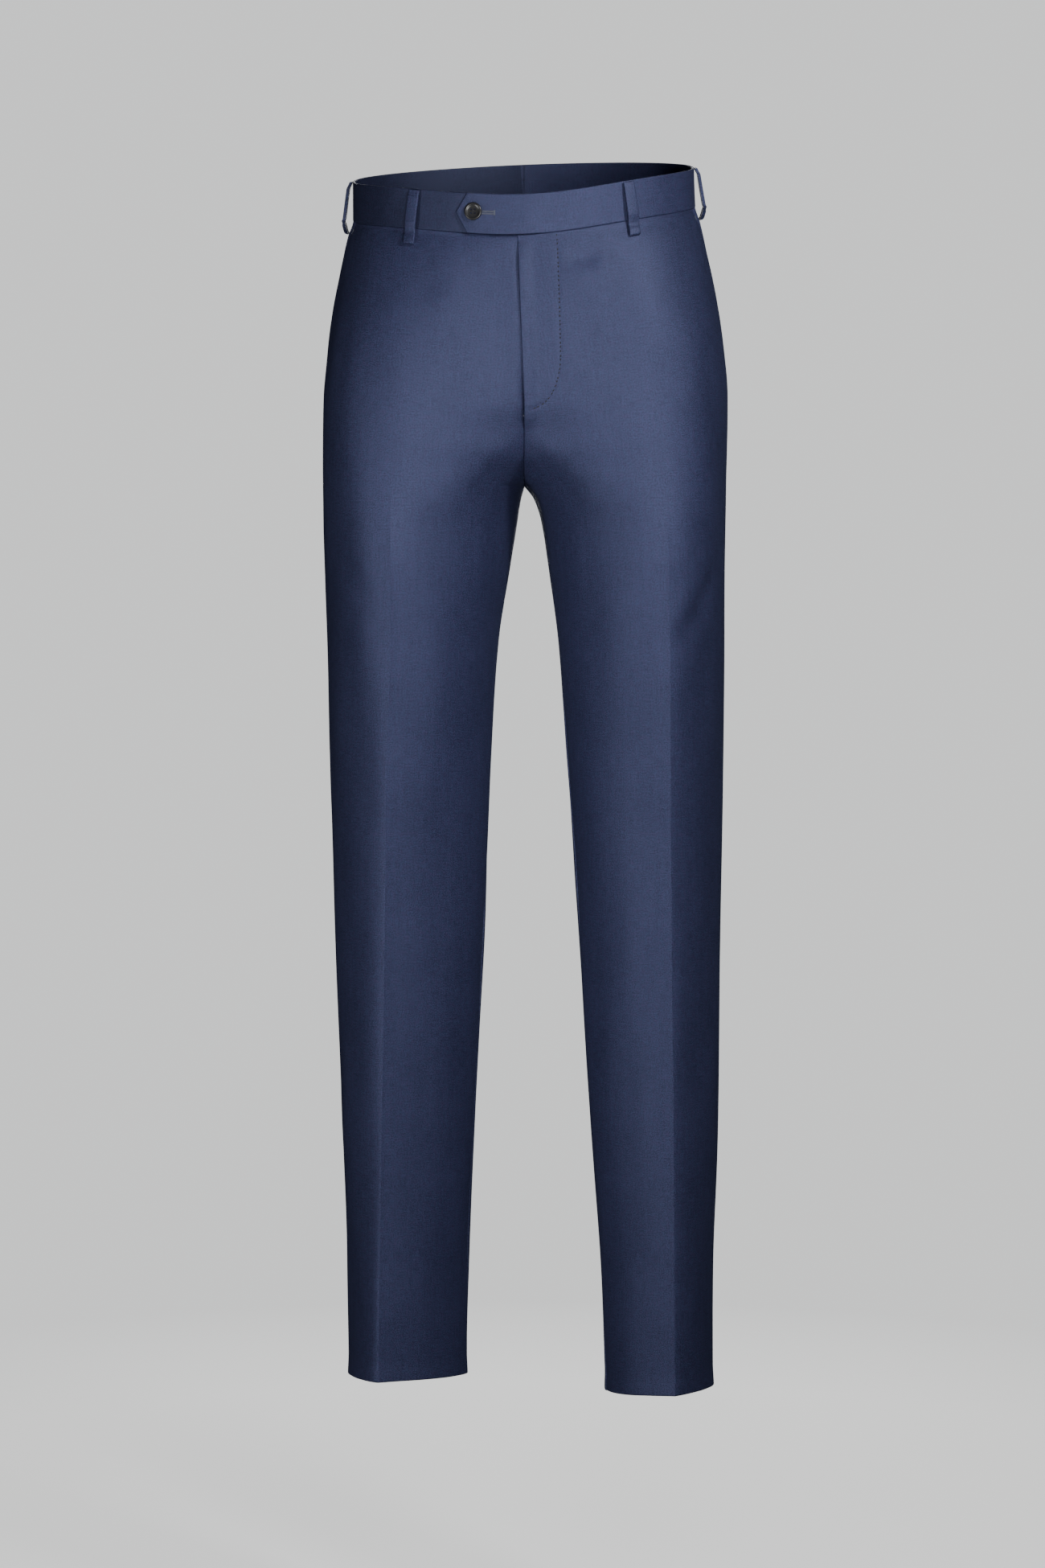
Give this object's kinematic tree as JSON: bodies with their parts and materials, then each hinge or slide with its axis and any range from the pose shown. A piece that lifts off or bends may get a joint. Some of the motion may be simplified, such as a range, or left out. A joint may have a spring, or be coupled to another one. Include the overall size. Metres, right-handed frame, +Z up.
{
  "type": "flat-front dress trousers in their worn hollow shape",
  "caption": "Slim flat-front dress trousers, hollow as worn, with pressed creases, slant pockets, belt loops and a buttoned pointed waistband tab.",
  "frame": {"origin": "middle of the waist opening, level with the waistband's top edge halfway between its front and its sides", "axes": "+Z up the body, wearer facing -Y, +X towards the wearer's left"},
  "size_m": [0.3666, 0.2699, 1.1406],
  "materials": {
    "worsted": "fine navy worsted twill, softly lustrous, pressed",
    "horn": "polished dark grey horn",
    "zip_tape": "plain woven navy tape with a fine chain",
    "zip_metal": "brushed"
  },
  "bodies": {
    "root": {"front_right": "worsted", "front_left": "worsted", "back_right": "worsted", "back_left": "worsted", "pocket_facing_right": "worsted", "pocket_facing_left": "worsted", "waistband_right": "worsted", "waistband_left": "worsted", "belt_loop_front_right": "worsted", "belt_loop_front_left": "worsted", "belt_loop_side_right": "worsted", "belt_loop_side_left": "worsted", "belt_loop_back_right": "worsted", "belt_loop_back_left": "worsted", "belt_loop_centre_back": "worsted", "button": "horn", "zip": "zip_tape", "zip_slider": "zip_metal"}
  },
  "joints": []
}
